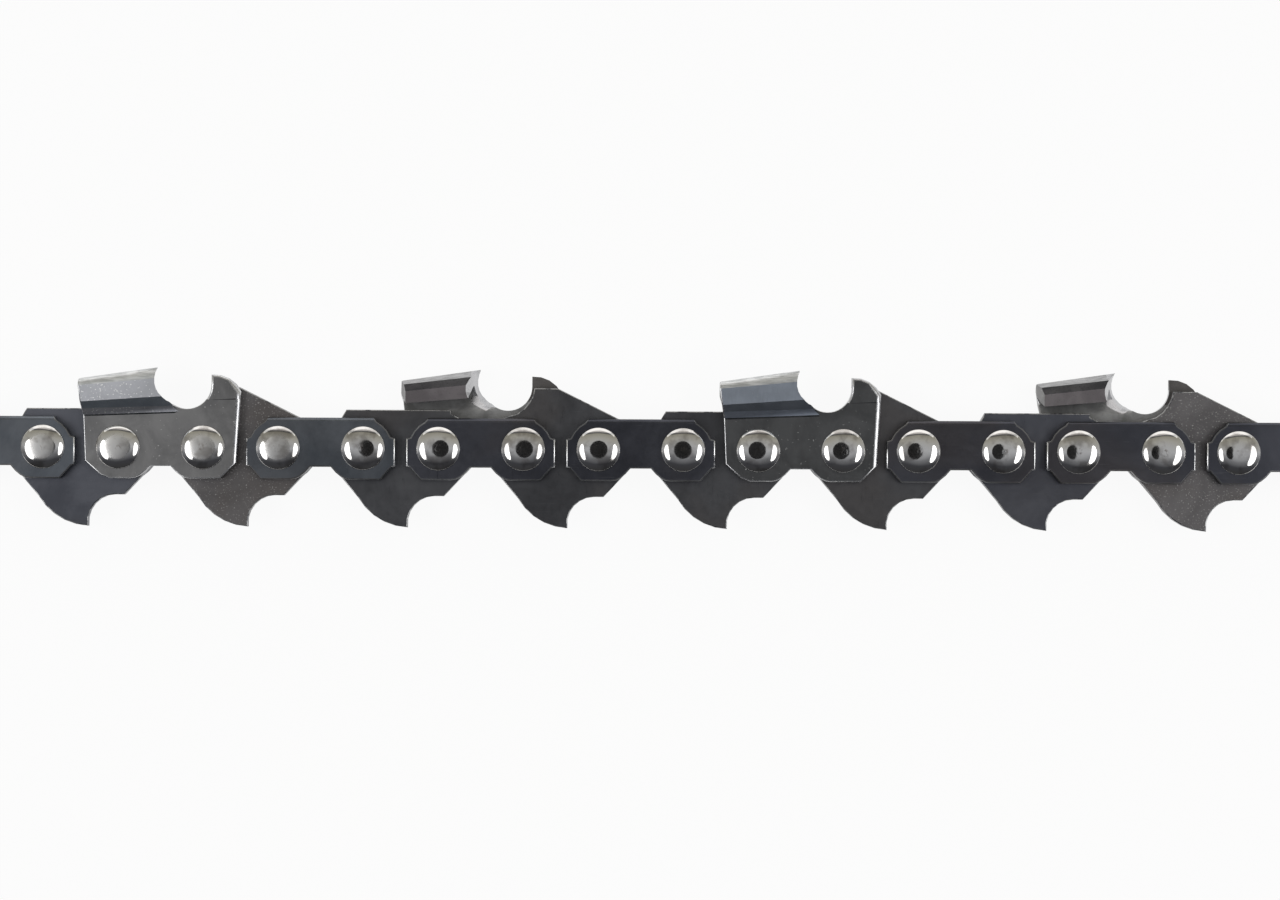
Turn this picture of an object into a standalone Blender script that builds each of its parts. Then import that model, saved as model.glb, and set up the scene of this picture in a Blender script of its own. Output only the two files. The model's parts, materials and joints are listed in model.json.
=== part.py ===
"""A straight length of 3/8 inch low-profile saw chain, lying on its side.

Units are metres. X runs along the chain in its cutting direction, +Y points from the
rivets to the cutting edges, and +Z is the direction of the rivets' axes. The floor is
at z = 0 and the origin is under the middle of the chain's box.
"""

import math

import bmesh
import bpy
from mathutils import Matrix, Vector

# Rivet spacing: a drive link and a side link together span two mean pitches of 9.32 mm
DRIVE_SPAN = 0.00875
SIDE_SPAN = 0.00989

# Links from the left end; the row of side links starts and ends with an open strap pair
DRIVE_LINKS = 8
SIDE_LINKS = DRIVE_LINKS + 1
MIDDLE_SIDE_LINK = DRIVE_LINKS // 2

# Layers across the chain
GAUGE = 0.00130
SIDE_PLAY = 0.00006
STRAP_THICKNESS = 0.00110

# Rivet: hub, pressed shank and domed head, with their running and seat gaps
HUB_RADIUS = 0.00215
HUB_CLEARANCE = 0.00010
HUB_END_GAP = 0.00003
SHANK_RADIUS = 0.00160
SHANK_CLEARANCE = 0.00004
HEAD_RADIUS = 0.00256
HEAD_RIM = 0.00014
HEAD_HEIGHT = 0.00070
HEAD_SEAT_GAP = 0.00003
DOME_RADIUS = 0.00228
DOME_RINGS = (60, 30, 0)
ROUND_STEPS = 16

# Tie strap, measured from its rivets: a round lobe with a square tab at its end
STRAP_TOP = 0.00355
STRAP_FOOT = 0.00368
STRAP_WAIST = 0.00220
STRAP_REACH = 0.00374
STRAP_TOP_OUT = 0.00128
STRAP_LOBE_RADIUS = 0.00348
STRAP_LOBE_END = 63
STRAP_LOBE_START = 22
STRAP_END_TOP = 0.00116
STRAP_END_BOTTOM = 0.00212
STRAP_LEDGE_IN = 0.00040
STRAP_LEDGE_DROP = 0.00006
STRAP_FOOT_OUT = 0.00202
STRAP_FOOT_IN = 0.00150
STRAP_WAIST_IN = 0.00375
STRAP_TOP_BEVEL = 0.00040
FOOT_STEPS = 4

# Drive link: lobes round the rivets, raised top and tang; angles in degrees from +X
LOBE_RADIUS = 0.00430
LOBE_HEEL_ANGLE = -34
LOBE_BELLY_ANGLE = 207
DRIVE_TOP = 0.00450
DRIVE_TOP_LEFT = 0.00205
DRIVE_TOP_RIGHT = 0.00142
DRIVE_SHOULDER_ANGLE = 130
TANG_DEPTH = 0.00922
TANG_TIP_X = 0.00078
TANG_NOSE_RADIUS = 0.00695
TANG_NOSE_START = 210
TANG_NOSE_END = 268
TANG_TOOTH_RADIUS = 0.00315
TANG_TOOTH_START = 187
TANG_HEEL = 0.00555
TANG_HEEL_X = 0.00500

# Guard of a bumper drive link, which rises behind the depth gauge and clears the gullet
BUMPER_TOP = 0.00708
BUMPER_CREST_X = -0.00033
BUMPER_SLOPE_ANGLE = 55
BUMPER_SHOULDER_ANGLE = 124
BUMPER_GULLET_GAP = 0.00068
BUMPER_GULLET_END = -88

# Cutter: side plate, gullet and depth gauge, in the flat
CUTTER_FOOT = 0.00363
CUTTER_FOOT_OUT = 0.00095
CUTTER_FOOT_RISE = 0.00040
CUTTER_HEEL_X = -0.00877
CUTTER_HEEL = 0.00162
GULLET_X = 0.00308
GULLET_Y = 0.00730
GULLET_RADIUS = 0.00282
GAUGE_CENTRE_X = 0.00620
GAUGE_CENTRE_Y = 0.00500
GAUGE_RADIUS = 0.00350
GAUGE_FRONT_X = 0.00935
GAUGE_TOE_X = 0.00892

# Cutter head at its rear and where the file cuts the kink: crease, kink, corner band, crest
# and free end
HEAD_REAR_X = -0.00950
HEAD_FRONT_X = 0.00031
HEAD_REAR_LEAN = 0.00050
FOLD_FADE_X = 0.00140
FOLD_END_X = 0.00210
CREASE = (0.00370, 0.00409)
KINK_TOP = (0.00523, 0.00590)
BAND_FOOT = (0.00712, 0.00806)
CREST = (0.00795, 0.00936)
FREE_END_TOP = (0.00660, 0.00766)
FREE_END_THICKNESS = (0.00136, 0.00161)
HALF_KERF = (0.00286, 0.00313)
CORNER_DEPTH = 0.00072
FREE_END_Z = -0.00080
FREE_END_REAR_X = -0.00885
SHOULDER_Z = 0.00015
SHOULDER_DROP = 0.00042
HEAD_THICKNESS = 0.00112
ROOT_RADIUS = 0.00022
CORNER_TURNS = (0, 30, 60, 90)

# File that shapes the cutting edge, open on its front side
FILE_X = 0.00220
FILE_Y = 0.00792
FILE_RADIUS = 0.00262
FILE_OPENING = 0.00157
FILE_ANGLE = math.radians(18)
FILE_DROP = math.radians(10)

# Length and fineness of the wheel and the file, and what the blank leaves for the wheel
TOOL_LENGTH = 0.012
WHEEL_STEPS = 40
GRIND_STOCK = 0.00061

# Sag of an arc's facets, the distance at which points are welded and the one at which they
# count as level, and the turn below which two faces are one
ARC_SAG = 0.00004
WELD = 2e-6
LEVEL = 1e-7
FLAT_TURN = math.radians(0.5)

# Derived places
STRAP_INNER = GAUGE / 2 + SIDE_PLAY
STRAP_OUTER = STRAP_INNER + STRAP_THICKNESS
HEAD_TOP = STRAP_OUTER + HEAD_SEAT_GAP + HEAD_HEIGHT
HALF_SIDE = SIDE_SPAN / 2
HALF_DRIVE = DRIVE_SPAN / 2
LINK_STEP = DRIVE_SPAN + SIDE_SPAN
MID_Z = max(*HALF_KERF, HEAD_TOP)

# Rear of the depth gauge, where the gullet's side stands upright
GAUGE_REAR_X = GULLET_X + GULLET_RADIUS


def arc(centre, radius, start, end, steps=None):
    """Points on an arc between two angles in degrees, both ends included."""
    if steps is None:
        facet = 2 * math.degrees(math.acos(1 - ARC_SAG / radius))
        steps = math.ceil(abs(end - start) / facet)
    angles = [math.radians(start + (end - start) * i / steps) for i in range(steps + 1)]
    return [(centre[0] + radius * math.cos(a), centre[1] + radius * math.sin(a)) for a in angles]


def circle(x, radius):
    """A rivet hole's outline, centred on the rivet line."""
    return arc((x, 0), radius, 0, 360, ROUND_STEPS)[:-1]


def angle_at(x, radius):
    """Angle in degrees, above the rivet line, of the point on a circle at the given x."""
    return math.degrees(math.acos(x / radius))


def foot_curve(x_foot, x_waist, depth):
    """Points from a flat foot up to the waist, level at the foot and steepest at the waist."""
    points = []
    for i in range(FOOT_STEPS + 1):
        share = i / FOOT_STEPS
        points.append((x_foot + (x_waist - x_foot) * share,
                       -depth + (depth - STRAP_WAIST) * share * share))
    return points


def plate(name, loops, thickness):
    """A flat plate about z = 0 from an outline and its holes, as a welded mesh."""
    curve = bpy.data.curves.new(name, "CURVE")
    curve.dimensions = "2D"
    curve.fill_mode = "BOTH"
    curve.extrude = thickness / 2
    for loop in loops:
        spline = curve.splines.new("POLY")
        spline.points.add(len(loop) - 1)
        for point, (x, y) in zip(spline.points, loop):
            point.co = (x, y, 0, 1)
        spline.use_cyclic_u = True
    flat = bpy.data.objects.new(name, curve)
    bpy.context.scene.collection.objects.link(flat)
    evaluated = flat.evaluated_get(bpy.context.evaluated_depsgraph_get())
    mesh = bpy.data.meshes.new_from_object(evaluated)
    mesh.transform(flat.matrix_world)
    bpy.data.objects.remove(flat)
    bpy.data.curves.remove(curve)
    weld = bmesh.new()
    weld.from_mesh(mesh)
    bmesh.ops.remove_doubles(weld, verts=weld.verts, dist=WELD)
    bmesh.ops.recalc_face_normals(weld, faces=weld.faces)
    weld.to_mesh(mesh)
    weld.free()
    mesh.name = name
    return mesh


def strap_mesh():
    """Tie strap about its own middle, with the wide bevel on its upper outer edge."""
    end = HALF_SIDE + STRAP_REACH
    half = [(end - STRAP_LEDGE_IN, -STRAP_END_BOTTOM - STRAP_LEDGE_DROP),
            (end, -STRAP_END_BOTTOM), (end, STRAP_END_TOP)]
    half += arc((HALF_SIDE, 0), STRAP_LOBE_RADIUS, STRAP_LOBE_START, STRAP_LOBE_END)
    half += [(HALF_SIDE + STRAP_TOP_OUT, STRAP_TOP)]
    foot = [(HALF_SIDE + STRAP_FOOT_OUT, -STRAP_FOOT)]
    rise = foot_curve(HALF_SIDE - STRAP_FOOT_IN, HALF_SIDE - STRAP_WAIST_IN, STRAP_FOOT)
    right = rise[::-1] + foot + half
    outline = right + [(-x, y) for x, y in right[::-1]]
    hole = SHANK_RADIUS + SHANK_CLEARANCE
    mesh = plate("tie_strap", [outline, circle(-HALF_SIDE, hole), circle(HALF_SIDE, hole)],
                 STRAP_THICKNESS)
    shape = bmesh.new()
    shape.from_mesh(mesh)
    bmesh.ops.bisect_plane(shape, geom=shape.verts[:] + shape.edges[:] + shape.faces[:],
                           dist=LEVEL, plane_co=(0, STRAP_TOP - STRAP_TOP_BEVEL, STRAP_THICKNESS / 2),
                           plane_no=(0, 1, 1), clear_outer=True)
    rim = [edge for edge in shape.edges if edge.is_boundary]
    bevel = bmesh.ops.contextual_create(shape, geom=rim)["faces"]
    bmesh.ops.triangulate(shape, faces=bevel)
    bmesh.ops.recalc_face_normals(shape, faces=shape.faces)
    shape.to_mesh(mesh)
    shape.free()
    return mesh


def tang_outline():
    """The tang from its heel at the right, round the hook and up to the left lobe."""
    tooth_x = TANG_TIP_X - TANG_TOOTH_RADIUS * math.cos(math.radians(TANG_TOOTH_START))
    nose_x = TANG_TIP_X - TANG_NOSE_RADIUS * math.cos(math.radians(TANG_NOSE_END))
    belly = arc((nose_x, TANG_NOSE_RADIUS - TANG_DEPTH), TANG_NOSE_RADIUS,
                TANG_NOSE_START, TANG_NOSE_END)
    hook = arc((tooth_x, -TANG_HEEL - TANG_TOOTH_RADIUS), TANG_TOOTH_RADIUS, TANG_TOOTH_START, 90)
    return belly + hook + [(TANG_HEEL_X, -TANG_HEEL)]


def drive_mesh(bumper):
    """Drive link about its own middle; a bumper link carries the guard behind the gauge."""
    right = (HALF_DRIVE, 0)
    left = (-HALF_DRIVE, 0)
    if bumper:
        gullet = (-HALF_DRIVE - HALF_SIDE + GULLET_X, GULLET_Y)
        reach = GULLET_RADIUS + BUMPER_GULLET_GAP
        top_angle = math.degrees(math.asin((BUMPER_TOP - GULLET_Y) / reach))
        top = arc(right, LOBE_RADIUS, LOBE_HEEL_ANGLE, BUMPER_SLOPE_ANGLE)
        top += [(BUMPER_CREST_X, BUMPER_TOP)]
        top += arc(gullet, reach, top_angle, BUMPER_GULLET_END)
        top += arc(left, LOBE_RADIUS, BUMPER_SHOULDER_ANGLE, LOBE_BELLY_ANGLE)
    else:
        top = arc(right, LOBE_RADIUS, LOBE_HEEL_ANGLE, angle_at(DRIVE_TOP_RIGHT, LOBE_RADIUS))
        top += [(HALF_DRIVE + DRIVE_TOP_RIGHT, DRIVE_TOP), (-HALF_DRIVE - DRIVE_TOP_LEFT, DRIVE_TOP)]
        top += arc(left, LOBE_RADIUS, DRIVE_SHOULDER_ANGLE, LOBE_BELLY_ANGLE)
    name = "bumper_drive_link" if bumper else "drive_link"
    hole = HUB_RADIUS + HUB_CLEARANCE
    return plate(name, [tang_outline() + top, circle(-HALF_DRIVE, hole), circle(HALF_DRIVE, hole)],
                 GAUGE)


def between(pair, x):
    """Value at x of a size given at the head's rear and at its front."""
    share = (x - HEAD_REAR_X) / (HEAD_FRONT_X - HEAD_REAR_X)
    return pair[0] + (pair[1] - pair[0]) * share


def cutting_corner_height():
    """Height of the crest where the file cuts it off, the highest point of the chain."""
    rise = CREST[1] - FILE_Y + CORNER_DEPTH * math.tan(FILE_DROP)
    centre = FILE_X - CORNER_DEPTH * math.tan(FILE_ANGLE)
    return between(CREST, centre - math.sqrt(FILE_RADIUS ** 2 - rise ** 2))


def head_section(x):
    """The folded plate's section at x: outer and inner points as (y, z), creased alike."""
    crease = between(CREASE, x)
    kink = between(KINK_TOP, x)
    band = between(BAND_FOOT, x)
    crest = between(CREST, x)
    end_top = between(FREE_END_TOP, x)
    end_foot = end_top - between(FREE_END_THICKNESS, x)
    side = between(HALF_KERF, x)
    lean = math.atan2(side - STRAP_OUTER, kink - crease)
    miter = HEAD_THICKNESS * math.tan(lean / 2)
    inner = side - HEAD_THICKNESS
    slope = (crest - end_top) / (side - CORNER_DEPTH - FREE_END_Z)
    root = end_foot + slope * (inner - FREE_END_Z)
    outer_points = [(crease, STRAP_OUTER), (kink, side)]
    inner_points = [(crease + miter, STRAP_INNER), (kink + miter, inner)]
    for turn in CORNER_TURNS:
        rise = math.sin(math.radians(turn))
        run = 1 - math.cos(math.radians(turn))
        outer_points.append((band + (crest - band) * rise, side - CORNER_DEPTH * run))
        inner_points.append((root - ROOT_RADIUS * (1 - rise), inner - ROOT_RADIUS * run))
    shoulder = crest - slope * (side - CORNER_DEPTH - SHOULDER_Z) + SHOULDER_DROP
    outer_points += [(shoulder, SHOULDER_Z), (end_top, FREE_END_Z)]
    inner_points += [(end_foot + slope * (SHOULDER_Z - FREE_END_Z), SHOULDER_Z),
                     (end_foot, FREE_END_Z)]
    return outer_points, inner_points


def crease_heights(x):
    """Heights of the crease lines on the flat blank, measured along the outer face."""
    outer_points, _ = head_section(x)
    heights = [outer_points[0][0]]
    for (y0, z0), (y1, z1) in zip(outer_points, outer_points[1:]):
        heights.append(heights[-1] + math.hypot(y1 - y0, z1 - z0))
    return heights


def fold_vertex(vertex):
    """Moves a vertex of the flat blank to its place on the folded head."""
    x = vertex.co.x
    heights = crease_heights(x)
    outer_points, inner_points = head_section(x)
    points = outer_points if vertex.co.z > 0 else inner_points
    flat_y, flat_z = vertex.co.y, vertex.co.z + (STRAP_INNER + STRAP_OUTER) / 2
    strip = 0
    while strip < len(heights) - 2 and flat_y > heights[strip + 1] + LEVEL:
        strip += 1
    share = (flat_y - heights[strip]) / (heights[strip + 1] - heights[strip])
    (y0, z0), (y1, z1) = points[strip], points[strip + 1]
    fade = 1.0
    if strip == 0:
        fade = min(1.0, max(0.0, (FOLD_END_X - x) / (FOLD_END_X - FOLD_FADE_X)))
    vertex.co.y = flat_y + (y0 + (y1 - y0) * share - flat_y) * fade
    vertex.co.z = flat_z + (z0 + (z1 - z0) * share - flat_z) * fade


def cutter_blank():
    """Flat blank of a cutter: feet, heel, unfolded head and depth gauge."""
    rear = crease_heights(HEAD_REAR_X)
    rise = foot_curve(HALF_SIDE - STRAP_FOOT_IN, HALF_SIDE - STRAP_WAIST_IN, CUTTER_FOOT)
    outline = [(-x, y) for x, y in rise[::-1]]
    outline += [(-HALF_SIDE - CUTTER_FOOT_OUT, -CUTTER_FOOT)]
    outline += [(-HALF_SIDE - STRAP_FOOT_OUT, CUTTER_FOOT_RISE - CUTTER_FOOT)]
    outline += [(CUTTER_HEEL_X, -CUTTER_HEEL), (HEAD_REAR_X + HEAD_REAR_LEAN, rear[0])]
    outline += [(HEAD_REAR_X + HEAD_REAR_LEAN / 2, rear[1]), (HEAD_REAR_X, rear[2])]
    outline += [(HEAD_REAR_X, rear[5]), (FREE_END_REAR_X, crease_heights(FREE_END_REAR_X)[-1])]
    outline += [(FOLD_END_X, crease_heights(FOLD_END_X)[-1])]
    outline += [(FOLD_END_X, GULLET_Y - GULLET_RADIUS + GRIND_STOCK)]
    outline += [(GULLET_X + GULLET_RADIUS / 2, GULLET_Y), (GAUGE_REAR_X, GULLET_Y)]
    outline += arc((GAUGE_CENTRE_X, GAUGE_CENTRE_Y), GAUGE_RADIUS,
                   angle_at(GAUGE_REAR_X - GAUGE_CENTRE_X, GAUGE_RADIUS),
                   angle_at(GAUGE_FRONT_X - GAUGE_CENTRE_X, GAUGE_RADIUS))
    outline += [(GAUGE_TOE_X, -CUTTER_HEEL), (HALF_SIDE + STRAP_FOOT_OUT, -CUTTER_FOOT)]
    outline += rise
    hole = SHANK_RADIUS + SHANK_CLEARANCE
    return plate("cutter", [outline, circle(-HALF_SIDE, hole), circle(HALF_SIDE, hole)],
                 STRAP_THICKNESS)


def score(blank, place, normal):
    """Cuts an edge into the blank's faces along a plane, taking nothing away."""
    bmesh.ops.bisect_plane(blank, geom=blank.verts[:] + blank.edges[:] + blank.faces[:],
                           dist=LEVEL, plane_co=place, plane_no=normal)


def folded_mesh():
    """Right-hand cutter before grinding: the blank creased, folded out, up and across."""
    mesh = cutter_blank()
    blank = bmesh.new()
    blank.from_mesh(mesh)
    rear, front = crease_heights(HEAD_REAR_X), crease_heights(FOLD_END_X)
    for rear_y, front_y in zip(rear[:-1], front[:-1]):
        along = Vector((FOLD_END_X - HEAD_REAR_X, front_y - rear_y, 0))
        score(blank, (HEAD_REAR_X, rear_y, 0), along.cross(Vector((0, 0, 1))).normalized())
    score(blank, (FOLD_FADE_X, 0, 0), (1, 0, 0))
    score(blank, (FOLD_END_X, 0, 0), (1, 0, 0))
    middle = (STRAP_INNER + STRAP_OUTER) / 2
    for vertex in blank.verts:
        x, y, _ = vertex.co
        if x < FOLD_END_X + LEVEL and y > crease_heights(x)[0] - LEVEL:
            fold_vertex(vertex)
        else:
            vertex.co.z += middle
    bmesh.ops.triangulate(blank, faces=blank.faces)
    bmesh.ops.recalc_face_normals(blank, faces=blank.faces)
    blank.to_mesh(mesh)
    blank.free()
    return mesh


def gullet_tool(tools):
    """Round grinding wheel that clears the gullet between the head and the depth gauge."""
    bpy.ops.mesh.primitive_cylinder_add(vertices=WHEEL_STEPS, radius=GULLET_RADIUS,
                                        depth=TOOL_LENGTH,
                                        location=(GULLET_X, GULLET_Y, STRAP_OUTER))
    return keep_tool(bpy.context.object, "gullet_tool", tools)


def file_tool(tools):
    """File held at the top plate's angle: round behind, and open in front of the edge."""
    shape = arc((0, 0), FILE_RADIUS, 90, 270, WHEEL_STEPS // 3)
    shape += [(FILE_OPENING, -FILE_RADIUS), (FILE_OPENING, FILE_RADIUS)]
    mesh = plate("file_tool", [shape], TOOL_LENGTH)
    tool = bpy.data.objects.new("file_tool", mesh)
    bpy.context.scene.collection.objects.link(tool)
    tool.location = (FILE_X, FILE_Y, HALF_KERF[1])
    tool.rotation_euler = (-FILE_DROP, FILE_ANGLE, 0)
    return keep_tool(tool, "file_tool", tools)


def keep_tool(tool, name, tools):
    """Puts a tool in its own collection, out of the render."""
    tool.name = name
    tool.hide_render = True
    tool.display_type = "WIRE"
    for collection in tool.users_collection:
        collection.objects.unlink(tool)
    tools.objects.link(tool)
    return tool


def cutter_mesh(tools):
    """Right-hand cutter: folded, then ground at the gullet and filed at the edge."""
    work = bpy.data.objects.new("cutter_work", folded_mesh())
    bpy.context.scene.collection.objects.link(work)
    for tool in (gullet_tool(tools), file_tool(tools)):
        cut = work.modifiers.new(tool.name, "BOOLEAN")
        cut.operation = "DIFFERENCE"
        cut.solver = "EXACT"
        cut.object = tool
    bpy.context.view_layer.update()
    evaluated = work.evaluated_get(bpy.context.evaluated_depsgraph_get())
    mesh = bpy.data.meshes.new_from_object(evaluated)
    mesh.name = "right_cutter"
    bpy.data.objects.remove(work)
    tidy = bmesh.new()
    tidy.from_mesh(mesh)
    bmesh.ops.remove_doubles(tidy, verts=tidy.verts, dist=WELD)
    bmesh.ops.dissolve_limit(tidy, angle_limit=FLAT_TURN, verts=tidy.verts, edges=tidy.edges)
    bmesh.ops.triangulate(tidy, faces=tidy.faces)
    tidy.to_mesh(mesh)
    tidy.free()
    return mesh


def opposite_hand(mesh):
    """The same piece for the other side of the chain, mirrored through its middle plane."""
    other = mesh.copy()
    other.name = "left_cutter"
    other.transform(Matrix.Scale(-1, 4, Vector((0, 0, 1))))
    other.flip_normals()
    return other


def rivet_profile():
    """Rivet outline at +X, from the top of one head down to the bottom of the other."""
    seat = STRAP_OUTER + HEAD_SEAT_GAP
    rim = seat + HEAD_RIM
    hub_end = STRAP_INNER - HUB_END_GAP
    upper = [(0, HEAD_TOP)]
    for turn in DOME_RINGS:
        across = DOME_RADIUS * math.cos(math.radians(turn))
        upper.append((across, rim + (HEAD_TOP - rim) * math.sin(math.radians(turn))))
    upper += [(HEAD_RADIUS, seat), (SHANK_RADIUS, seat), (SHANK_RADIUS, hub_end)]
    upper += [(HUB_RADIUS, hub_end)]
    points = upper + [(r, -z) for r, z in upper[::-1]]
    mesh = bpy.data.meshes.new("rivet_profile")
    edges = [(i, i + 1) for i in range(len(points) - 1)]
    mesh.from_pydata([(r, 0, z) for r, z in points], edges, [])
    return mesh


def steel(name, colour, roughness, metallic):
    """A plain steel finish."""
    material = bpy.data.materials.new(name)
    material.use_nodes = True
    shader = material.node_tree.nodes["Principled BSDF"]
    shader.inputs["Base Color"].default_value = (*colour, 1)
    shader.inputs["Roughness"].default_value = roughness
    shader.inputs["Metallic"].default_value = metallic
    return material


class Chain:
    """Places the pieces, and hangs each link on the rivet that it turns about."""

    def __init__(self):
        self.parts = bpy.data.collections.new("chainsaw_chain")
        self.tools = bpy.data.collections.new("grinding_tools")
        for collection in (self.parts, self.tools):
            bpy.context.scene.collection.children.link(collection)
        self.pivots = {}
        self.meshes = {
            "strap": strap_mesh(),
            "drive": drive_mesh(bumper=False),
            "bumper": drive_mesh(bumper=True),
            "right_cutter": cutter_mesh(self.tools),
            "rivet": rivet_profile(),
        }
        self.meshes["left_cutter"] = opposite_hand(self.meshes["right_cutter"])
        dress = {
            "strap": steel("blued_strap_steel", (0.045, 0.047, 0.056), 0.42, 0.85),
            "drive": steel("blued_drive_steel", (0.040, 0.040, 0.046), 0.45, 0.85),
            "bumper": steel("blued_bumper_steel", (0.050, 0.048, 0.050), 0.48, 0.85),
            "right_cutter": steel("right_cutter_chrome", (0.24, 0.25, 0.27), 0.28, 1.0),
            "left_cutter": steel("left_cutter_chrome", (0.22, 0.23, 0.25), 0.30, 1.0),
            "rivet": steel("bright_rivet_steel", (0.55, 0.54, 0.53), 0.12, 1.0),
        }
        for kind, material in dress.items():
            self.meshes[kind].materials.append(material)

    def side_x(self, index):
        """Middle of a side link."""
        return (index - MIDDLE_SIDE_LINK) * LINK_STEP

    def drive_x(self, index):
        """Middle of a drive link, which stands before the side link of its number."""
        return self.side_x(index) - LINK_STEP / 2

    def add_pivot(self, body, x, parent=None):
        """An empty on the rivet axis that a link turns about."""
        pivot = bpy.data.objects.new(body + "_pivot", None)
        pivot.empty_display_size = HUB_RADIUS
        self.parts.objects.link(pivot)
        place = Vector((x, RIVET_LINE_Y, MID_Z))
        pivot.location = place
        if parent:
            pivot.parent = self.pivots[parent][0]
            pivot.location = place - self.pivots[parent][1]
        self.pivots[body] = (pivot, place)

    def add_pivots(self):
        """The middle side link is fixed, and the others follow it outwards both ways."""
        middle = MIDDLE_SIDE_LINK
        self.add_pivot(f"side_{middle}", self.side_x(middle))
        for i in range(middle + 1, SIDE_LINKS):
            self.add_pivot(f"drive_{i}", self.drive_x(i) - HALF_DRIVE, f"side_{i - 1}")
            self.add_pivot(f"side_{i}", self.drive_x(i) + HALF_DRIVE, f"drive_{i}")
        for i in range(middle, 0, -1):
            self.add_pivot(f"drive_{i}", self.drive_x(i) + HALF_DRIVE, f"side_{i}")
            self.add_pivot(f"side_{i - 1}", self.drive_x(i) - HALF_DRIVE, f"drive_{i}")

    def add_piece(self, name, kind, body, x, layer=0.0):
        """One piece of the chain, centred at x in the given layer."""
        piece = bpy.data.objects.new(name, self.meshes[kind])
        self.parts.objects.link(piece)
        pivot, place = self.pivots[body]
        piece.parent = pivot
        piece.location = Vector((x, RIVET_LINE_Y, MID_Z + layer)) - place
        return piece

    def add_side_link(self, index):
        """Two tie straps, or a cutter and the strap opposite, on one pair of rivets."""
        x = self.side_x(index)
        layer = (STRAP_INNER + STRAP_OUTER) / 2
        hands = {"right": layer, "left": -layer}
        cutter_hand = {1: "right", 3: "left"}.get(index % 4)
        for hand, height in hands.items():
            if hand == cutter_hand:
                self.add_piece(f"{hand}_cutter_{index}", f"{hand}_cutter", f"side_{index}", x)
            else:
                strap = self.add_piece(f"tie_strap_{index}_{hand}", "strap", f"side_{index}", x, height)
                if hand == "left":
                    strap.rotation_euler = (0, math.pi, 0)

    def add_drive_link(self, index):
        """A drive link and the rivets through both of its lobes."""
        x = self.drive_x(index)
        kind, name = ("bumper", "bumper_drive_link") if index % 2 == 0 else ("drive", "drive_link")
        self.add_piece(f"{name}_{index}", kind, f"drive_{index}", x)
        self.add_rivet(2 * index - 1, x - HALF_DRIVE, f"side_{index - 1}")
        self.add_rivet(2 * index, x + HALF_DRIVE, f"side_{index}")

    def add_rivet(self, number, x, body):
        """A rivet, turned about its own axis and fast in its side link."""
        rivet = self.add_piece(f"rivet_{number:02d}", "rivet", body, x)
        turn = rivet.modifiers.new("turn", "SCREW")
        turn.axis = "Z"
        turn.angle = 2 * math.pi
        turn.steps = ROUND_STEPS
        turn.render_steps = ROUND_STEPS
        turn.use_merge_vertices = True
        turn.merge_threshold = WELD
        turn.use_smooth_shade = True

    def build(self):
        """The whole length of chain."""
        self.add_pivots()
        for index in range(SIDE_LINKS):
            self.add_side_link(index)
        for index in range(1, SIDE_LINKS):
            self.add_drive_link(index)


def clear_scene():
    """Removes what the opened file holds."""
    for item in list(bpy.data.objects):
        bpy.data.objects.remove(item)


# The box is centred on the origin, from the tangs' tips to the cutting corners
RIVET_LINE_Y = (TANG_DEPTH - cutting_corner_height()) / 2

clear_scene()
Chain().build()
bpy.context.view_layer.update()
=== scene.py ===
"""Looks of a straight length of saw chain, lying on its side on a pale floor.

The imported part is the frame: each piece here stands for a node of it and rides on that
node's body. Units are metres. X runs along the chain in its cutting direction, +Y points
to the cutting edges and +Z, along the rivets, to the camera.
"""

import json
import logging
import math
from dataclasses import dataclass
from enum import IntEnum
from typing import Callable, Iterable, Mapping, Sequence

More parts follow.
